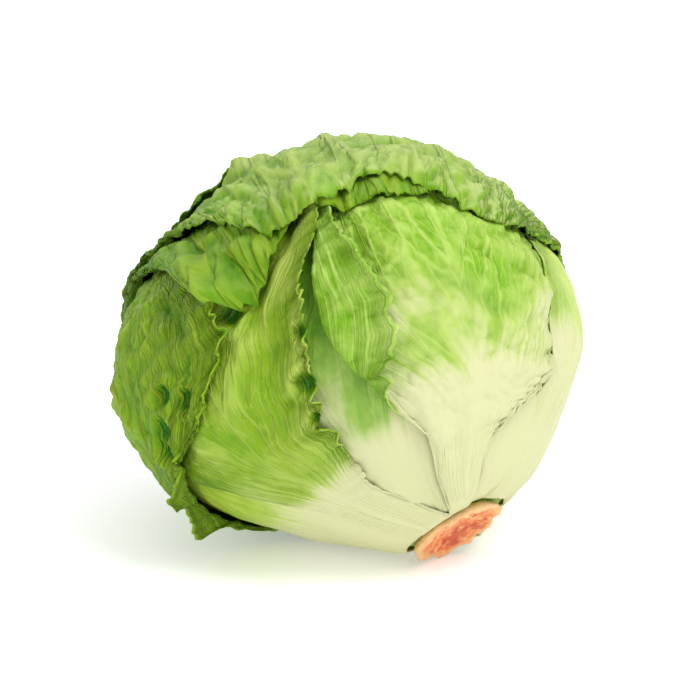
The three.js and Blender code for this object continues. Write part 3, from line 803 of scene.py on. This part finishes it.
def make_blade(spec, laid):
    deselect()
    columns, rows = spec["cells"]
    bpy.ops.mesh.primitive_grid_add(x_subdivisions=columns, y_subdivisions=rows, size=2)
    piece = bpy.context.object
    piece.name = spec["name"] + "_blade"
    mesh = piece.data
    mesh.name = piece.name
    flat = read_points(mesh, "co")
    across = crowd(flat[:, 0])
    along = crowd((flat[:, 1] + 1) / 2)
    chart, x, y, height, tint = shape_leaf(spec, across, along)
    dirs = off_map(chart, x, y)
    points = dirs * lay_down(spec, dirs, make_heights(chart, laid)(x, y), height)[:, None]
    place_points(mesh, points)
    mesh.uv_layers.remove(mesh.uv_layers[0])
    write_map(mesh, "place", (across + 1) / 2, along)
    write_map(mesh, "veins", vein_number(across, along), across)
    write_tint(mesh, *tint)
    mesh.update()
    normals = read_points(mesh, "normal")
    if (normals * dirs).sum() < 0:
        mesh.flip_normals()
        normals = -normals
    laid.append(points + normals * BLADE)
    solidify = piece.modifiers.new("solidify", "SOLIDIFY")
    solidify.thickness = BLADE * MM
    solidify.offset = 1
    solidify.use_rim = True
    bpy.ops.object.modifier_apply(modifier=solidify.name)
    bpy.ops.object.shade_smooth()
    return piece


# %% [markdown]
# Shader maths is easier to read as sums than as a wall of nodes. This small class wraps a socket, so
# that `1 - mask` adds a Math node by itself.

# %% Shader helper
class Value:
    """A socket in a material, with arithmetic."""

    def __init__(self, tree, socket):
        self.tree = tree
        self.socket = socket

    def node(self, kind, settings=None, out=0, **sockets):
        item = self.tree.nodes.new(kind)
        for key, setting in (settings or {}).items():
            setattr(item, key, setting)
        for key, value in sockets.items():
            target = item.inputs[int(key[1:])] if key[1:].isdigit() else item.inputs[key.replace("_", " ")]
            if isinstance(value, Value):
                self.tree.links.new(value.socket, target)
            else:
                target.default_value = value
        return Value(self.tree, item.outputs[out])

    def output(self, index):
        """Another output of the same node."""
        return Value(self.tree, self.socket.node.outputs[index])

    def math(self, operation, *values):
        sockets = {f"i{k}": value for k, value in enumerate(values)}
        return self.node("ShaderNodeMath", {"operation": operation}, **sockets)

    def __add__(self, other):
        return self.math("ADD", self, other)

    def __sub__(self, other):
        return self.math("SUBTRACT", self, other)

    def __rsub__(self, other):
        return self.math("SUBTRACT", other, self)

    def __mul__(self, other):
        return self.math("MULTIPLY", self, other)

    __radd__ = __add__
    __rmul__ = __mul__

    def step(self, low, high):
        """A soft step from 0 to 1 between two values."""
        return self.node("ShaderNodeMapRange", {"interpolation_type": "SMOOTHSTEP"},
                         i0=self, i1=low, i2=high, i3=0.0, i4=1.0)

    def blend(self, first, second):
        """A colour between two colours."""
        return self.node("ShaderNodeMix", {"data_type": "RGBA"}, out=2, i0=self, i6=first, i7=second)


def new_material(name):
    """A new material, its shader, and an empty Value that adds nodes to it."""
    material = bpy.data.materials.new(name)
    material.use_nodes = True
    tree = material.node_tree
    return material, tree.nodes["Principled BSDF"], Value(tree, None)


def set_sockets(shader, **sockets):
    for key, value in sockets.items():
        target = shader.inputs[key.replace("_", " ")]
        if isinstance(value, Value):
            value.tree.links.new(value.socket, target)
        else:
            target.default_value = value


# %% [markdown]
# A lettuce blade is cream-white where the ribs crowd together at its foot, light green in the middle
# and deeper green toward the margin, with a network of paler veins. Its creases and hollows are painted a
# darker green as shade, and its ridges are painted lighter as if lit. The outer leaves also carry a pale
# grey-green where they face the sky, partly bloom and partly a painted sheen of the sky. The colours
# could be painted on by hand, but mixing them from the leaf's own pattern keeps every vein and crease
# in step with the form.

# %% Leaf material
def colour(red, green, blue):
    """A colour as seen on screen, turned into the linear values that a shader works with."""
    def linear(part):
        part = part / 255
        return part / 12.92 if part <= 0.04045 else ((part + 0.055) / 1.055) ** 2.4
    return (linear(red), linear(green), linear(blue), 1.0)


CREAM = colour(204, 202, 163)
PALE = colour(184, 200, 112)
# Partly the leaf's pale bloom and partly a painted sheen of the sky on faces that look up.
BLOOM_AND_SHEEN = colour(190, 204, 130)
# Painted shade: this deep green darkens creases, hollows and the edges of the puckers, mixed with random
# darker mottle.
SHADE_AND_MOTTLE_GREEN = colour(36, 116, 4)
NET_LAYERS = ((1.0, 0.08), (2.6, 0.12))
NET_STRETCH = (4.4, 4.0)
NET_BEND = (0.9, 0.9, 0)
STREAK_STRETCH = (8.5, 2.5, 0)
CLOUD_SCALE = 22.0
MOTTLE_SCALE = 120.0
PUCKER_SCALE = 210.0
SKYWARD = (0.42, 0.95)
BUMP_STRENGTH = 0.85
BUMP_HEIGHT = 0.0017


def vein_network(start, veins):
    """Lines of the fine veins, from 0 to 1: a coarse net and a finer one, stretched along the leaf."""
    split = start.node("ShaderNodeSeparateXYZ", i0=veins)
    spread = split.output(1)
    lines = []
    for scale, width in NET_LAYERS:
        number = split * (NET_STRETCH[0] * scale)
        flat = start.node("ShaderNodeCombineXYZ", i0=number, i1=spread * (NET_STRETCH[1] * scale), i2=scale)
        warp = start.node("ShaderNodeTexNoise", out=1, Vector=flat, Scale=1.1, Detail=1.0)
        bent = start.node("ShaderNodeVectorMath", {"operation": "MULTIPLY_ADD"},
                          i0=warp, i1=NET_BEND, i2=flat)
        cells = start.node("ShaderNodeTexVoronoi", {"feature": "DISTANCE_TO_EDGE"}, Vector=bent, Scale=1.0)
        lines.append(1 - cells.step(0.0, width))
    return lines


def leaf_material(name, blade, edge, vein, sheen_and_bloom_share, net, deep):
    """The tint of the mesh gives the pale foot, the rim, and painted shade in the creases and hollows and
    painted light on the ridges; noise gives the rest.
    """
    material, shader, start = new_material(name)
    blade, edge, vein = colour(*blade), colour(*edge), colour(*vein)
    veins = start.node("ShaderNodeUVMap", {"uv_map": "veins"})
    tint = start.node("ShaderNodeAttribute", {"attribute_name": "tint"})
    split = start.node("ShaderNodeSeparateXYZ", i0=tint)
    pale = split
    ridge = split.output(1)
    rim = split.output(2)
    where = start.node("ShaderNodeTexCoord", out=3)
    cloud = start.node("ShaderNodeTexNoise", Vector=where, Scale=CLOUD_SCALE, Detail=4.0)
    mottle = start.node("ShaderNodeTexNoise", Vector=where, Scale=MOTTLE_SCALE, Detail=6.0, Roughness=0.6)
    puckers = start.node("ShaderNodeTexVoronoi", {"feature": "F1"}, Vector=where, Scale=PUCKER_SCALE)
    along_veins = start.node("ShaderNodeVectorMath", {"operation": "MULTIPLY"}, i0=veins, i1=STREAK_STRETCH)
    streak = start.node("ShaderNodeTexNoise", Vector=along_veins, Scale=1.0, Detail=1.5)
    coarse, fine = vein_network(start, veins)
    lines = coarse.math("MAXIMUM", coarse, fine * 0.5) * (1 - pale * 0.8)
    tone = cloud.step(0.3, 0.7).blend(blade, edge)
    tone = (rim * 0.7).blend(tone, edge)
    # Painted shade: creases, hollows and the edges of the puckers are mixed toward deep green, together
    # with random darker mottle.
    shade = (0.44 - ridge) * 1.6 + (0.5 - mottle) * 1.2 + (puckers - 0.45) * 0.7
    tone = (shade * deep).blend(tone, SHADE_AND_MOTTLE_GREEN)
    # Painted light: ridges and folds are lightened toward the vein colour, along with real streaks that
    # follow the veins.
    tone = ((ridge - 0.42) * 1.1 + (streak - 0.5) * (0.9 - 0.4 * deep)).blend(tone, vein)
    tone = (lines * net).blend(tone, vein)
    fade = (pale + (streak - 0.5) * 1.1 * pale + (ridge - 0.45) * 0.5 * pale).step(0.02, 0.95)
    tone = (fade * 0.9).blend(tone, PALE)
    tone = ((fade - 0.55) * 1.8).blend(tone, CREAM)
    # Partly bloom and partly painted sheen: faces that look up to the sky, ridges most, are mixed toward a
    # pale grey-green, more toward the leaf's left margin.
    up = start.node("ShaderNodeNewGeometry", out=1)
    facing = start.node("ShaderNodeSeparateXYZ", out=2, i0=up)
    across = start.node("ShaderNodeSeparateXYZ", i0=start.node("ShaderNodeUVMap", {"uv_map": "place"}))
    bloom_and_sheen = facing.step(*SKYWARD) * (ridge * 1.2 + mottle * 1.6 - 0.7) * (1.25 - 0.95 * across) * sheen_and_bloom_share
    tone = bloom_and_sheen.blend(tone, BLOOM_AND_SHEEN)
    crisp = 1 - pale * 0.85
    bumps = (lines * (0.9 * deep * deep) + mottle * 0.9 + (1 - puckers) * 0.6) * crisp + streak * 0.1
    bump = start.node("ShaderNodeBump", i0=BUMP_STRENGTH, i1=BUMP_HEIGHT, i3=bumps)
    set_sockets(shader, Base_Color=tone, Roughness=0.4 + mottle * 0.3, Normal=bump,
                Specular_IOR_Level=0.2)
    return material


# For each leaf: colour of the blade, of its edge and of its veins, then how much bloom and painted sky
# sheen it carries, how clear its fine veins are, and how dark its creases and hollows are painted as shade.
LEAF_FINISH = {
    "leaf_under_right": ((196, 212, 90), (160, 198, 40), (214, 222, 120), 0.0, 0.2, 0.5),
    "leaf_inner_left": ((136, 186, 30), (80, 156, 2), (176, 208, 80), 0.0, 0.35, 0.6),
    "leaf_back_low": ((120, 164, 16), (88, 142, 4), (160, 192, 60), 0.1, 0.3, 1.0),
    "leaf_back_right": ((112, 158, 12), (84, 138, 2), (150, 186, 50), 0.15, 0.3, 1.0),
    "leaf_under_front": ((176, 196, 60), (140, 178, 20), (200, 212, 90), 0.0, 0.25, 0.5),
    "leaf_centre": ((130, 170, 38), (110, 166, 0), (188, 212, 110), 0.0, 0.6, 0.5),
    "leaf_left": ((130, 162, 16), (114, 160, 0), (176, 194, 88), 0.05, 0.45, 0.55),
    "leaf_right": ((186, 206, 90), (100, 160, 6), (212, 222, 140), 0.05, 0.2, 0.45),
    "leaf_far_left": ((92, 132, 0), (112, 158, 0), (142, 170, 30), 0.7, 0.8, 1.0),
    "leaf_top_inner": ((86, 128, 0), (92, 148, 4), (134, 166, 30), 0.12, 0.8, 1.0),
    "leaf_top": ((92, 134, 2), (104, 158, 16), (150, 178, 64), 0.62, 0.65, 1.0),
    "leaf_back_left": ((94, 142, 0), (76, 134, 0), (134, 168, 24), 0.3, 0.4, 1.0),
}

# %% [markdown]
# Now every leaf is laid in turn. The list `laid` grows with each blade's outer face, so that the next
# leaf rests on it.

# %% Lay the leaves
laid = []
for spec in LEAVES:
    blade = make_blade(spec, laid)
    blade.data.materials.append(leaf_material(spec["name"], *LEAF_FINISH[spec["name"]]))
    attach(blade, "root")
    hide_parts(spec["name"])
    print(blade.name, len(blade.data.polygons), "faces")

# %% [markdown]
# The heart shows only through gaps between the leaves. It is a fine ball pushed out to the heart's
# reach, in the pale yellow-green of leaves that never saw the sun.

# %% Heart
HEART_LEVELS = 6
HEART_GREEN = colour(120, 170, 30)
HEART_YELLOW = colour(170, 204, 80)


def make_heart():
    deselect()
    bpy.ops.mesh.primitive_ico_sphere_add(subdivisions=HEART_LEVELS, radius=1)
    piece = bpy.context.object
    piece.name = "heart_ball"
    dirs = read_points(piece.data, "co")
    dirs = dirs / np.linalg.norm(dirs, axis=1)[:, None]
    place_points(piece.data, dirs * heart_reach(dirs)[:, None])
    piece.data.update()
    bpy.ops.object.shade_smooth()
    return piece


def heart_material():
    material, shader, start = new_material("heart")
    where = start.node("ShaderNodeTexCoord", out=3)
    mottle = start.node("ShaderNodeTexNoise", Vector=where, Scale=40.0, Detail=5.0)
    tone = mottle.blend(HEART_GREEN, HEART_YELLOW)
    bump = start.node("ShaderNodeBump", i0=0.3, i1=0.001, i3=mottle)
    set_sockets(shader, Base_Color=tone, Roughness=0.55, Normal=bump)
    return material


heart = make_heart()
heart.data.materials.append(heart_material())
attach(heart, "root")
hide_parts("heart")
print(heart.name, len(heart.data.polygons), "faces")

# %% [markdown]
# The stem was cut with a knife and has browned to orange. A short stub could be turned with a Screw
# modifier, but its rim is lumpy and its face is torn. So a grid is rolled round the stem's direction
# along a profile, doubled points are merged, and the rim and the face are roughened on the way.

# %% Cut stem
STEM_PROFILE = [(0, 73.4), (14.5, 73.4), (15.8, 74.4), (16.3, 75.6), (16.2, 76.6), (15.2, 77.0),
                (12.5, 76.7), (9.0, 76.0), (5.0, 75.3), (2.0, 75.1), (0, 75.1)]
STEM_FOOT = 73.35
STEM_RINGS = 70
STEM_SIDES = 200
STEM_EDGE = (9, 16)
STEM_RIM = (11.5, 15.5)
FACE_HEIGHT = (74.4, 75.2)
FACE_START = 0.2
TORN_SIZE = 1.6
TORN_HEIGHT = 0.5
PIT_SIZE = 4.5
PIT_HEIGHT = 0.9
LUMP_WIDTH = 0.07
LUMP_HEIGHT = 1.3
SAME_POINT = 0.00002
CUT_DARK = colour(214, 92, 24)
CUT_LIGHT = colour(238, 168, 98)
CUT_PATCH = colour(186, 62, 8)
CUT_PITS = colour(246, 200, 140)
CUT_RIM = colour(236, 200, 138)


def make_stem():
    deselect()
    bpy.ops.mesh.primitive_grid_add(x_subdivisions=STEM_SIDES, y_subdivisions=STEM_RINGS, size=2)
    piece = bpy.context.object
    piece.name = "cut_stem_stub"
    flat = read_points(piece.data, "co")
    turn = (flat[:, 0] + 1) * math.pi
    share = (flat[:, 1] + 1) / 2
    profile, _ = line_through(STEM_PROFILE)
    place = profile(share)
    radius = np.clip(place[:, 0], 0, None)
    height = place[:, 1]
    edge = smooth(*STEM_EDGE, radius)
    ring_x, ring_y = np.cos(turn), np.sin(turn)
    lumps = noise(ring_x * 2.2 + 9, ring_y * 2.2 + 4, 3) + 0.6 * noise(ring_x * 6, ring_y * 6, 5)
    torn = noise(radius * ring_x / TORN_SIZE, radius * ring_y / TORN_SIZE, 8)
    pits = crinkle(radius * ring_x, radius * ring_y, PIT_SIZE, 12)
    on_face = smooth(*FACE_HEIGHT, height) * smooth(0, 0.3, share - FACE_START)
    radius = radius * (1 + LUMP_WIDTH * lumps * edge)
    rough = TORN_HEIGHT * torn + PIT_HEIGHT * (pits - 0.5) + LUMP_HEIGHT * lumps * edge
    height = np.maximum(height + on_face * rough, STEM_FOOT)
    forward = (radius * ring_x)[:, None] * front
    sideways = (radius * ring_y)[:, None] * side
    place_points(piece.data, height[:, None] * stem_axis + forward + sideways)
    write_tint(piece.data, smooth(*STEM_RIM, radius), pits, on_face)
    bpy.ops.object.mode_set(mode="EDIT")
    bpy.ops.mesh.select_all(action="SELECT")
    bpy.ops.mesh.remove_doubles(threshold=SAME_POINT)
    bpy.ops.mesh.normals_make_consistent(inside=False)
    bpy.ops.object.mode_set(mode="OBJECT")
    bpy.ops.object.shade_smooth()
    return piece


def stem_material():
    material, shader, start = new_material("cut_stem")
    tint = start.node("ShaderNodeAttribute", {"attribute_name": "tint"})
    split = start.node("ShaderNodeSeparateXYZ", i0=tint)
    pits = split.output(1)
    where = start.node("ShaderNodeTexCoord", out=3)
    mottle = start.node("ShaderNodeTexNoise", Vector=where, Scale=420.0, Detail=6.0, Roughness=0.7)
    patch = start.node("ShaderNodeTexNoise", Vector=where, Scale=130.0, Detail=4.0)
    tone = mottle.step(0.35, 0.7).blend(CUT_DARK, CUT_LIGHT)
    tone = (patch.step(0.48, 0.62) * 0.8).blend(tone, CUT_PATCH)
    tone = ((pits - 0.5) * 1.6).blend(tone, CUT_PITS)
    tone = (split * (0.4 + patch * 0.7)).blend(tone, CUT_RIM)
    bump = start.node("ShaderNodeBump", i0=0.8, i1=0.0008, i3=mottle)
    set_sockets(shader, Base_Color=tone, Roughness=0.35 + mottle * 0.3, Normal=bump,
                Specular_IOR_Level=0.6)
    return material


stem = make_stem()
stem.data.materials.append(stem_material())
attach(stem, "root")
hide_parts("cut_stem")
print(stem.name, len(stem.data.polygons), "faces")

# %% [markdown]
# A plain pale floor and soft studio light. The floor and the sky are nearly white, and one large lamp
# from the upper right gives the soft shadow at the left.

# %% Floor and light
FLOOR_SIZE = 6
FLOOR_GREY = (0.92, 0.92, 0.92, 1)
FLOOR_GLOW = 0.3
WHITE = (1, 1, 1, 1)
SKY_POWER = 0.95
LAMP_PLACE = (0.55, -0.6, 1.25)
LAMP_SIZE = 0.7
LAMP_POWER = 11

deselect()
bpy.ops.mesh.primitive_plane_add(size=FLOOR_SIZE)
floor = bpy.context.object
floor.name = "floor"
floor_material, floor_shader, _ = new_material("floor")
set_sockets(floor_shader, Base_Color=FLOOR_GREY, Roughness=0.9,
            Emission_Color=WHITE, Emission_Strength=FLOOR_GLOW)
floor.data.materials.append(floor_material)

world = bpy.data.worlds.new("studio")
world.use_nodes = True
background = world.node_tree.nodes["Background"]
background.inputs[0].default_value = WHITE
background.inputs[1].default_value = SKY_POWER
bpy.context.scene.world = world

lamp_data = bpy.data.lights.new("key", "AREA")
lamp_data.size = LAMP_SIZE
lamp_data.energy = LAMP_POWER
lamp = bpy.data.objects.new("key", lamp_data)
lamp.location = LAMP_PLACE
away = np.array(CAMERA_AIM) - np.array(LAMP_PLACE)
lamp.rotation_euler = (
    math.atan2(math.hypot(away[0], away[1]), -away[2]),
    0,
    math.atan2(away[1], away[0]) - math.pi / 2,
)
bpy.context.scene.collection.objects.link(lamp)
print("lamp at", LAMP_PLACE, "with", LAMP_POWER, "watts")
bpy.context.scene.view_settings.view_transform = "Standard"
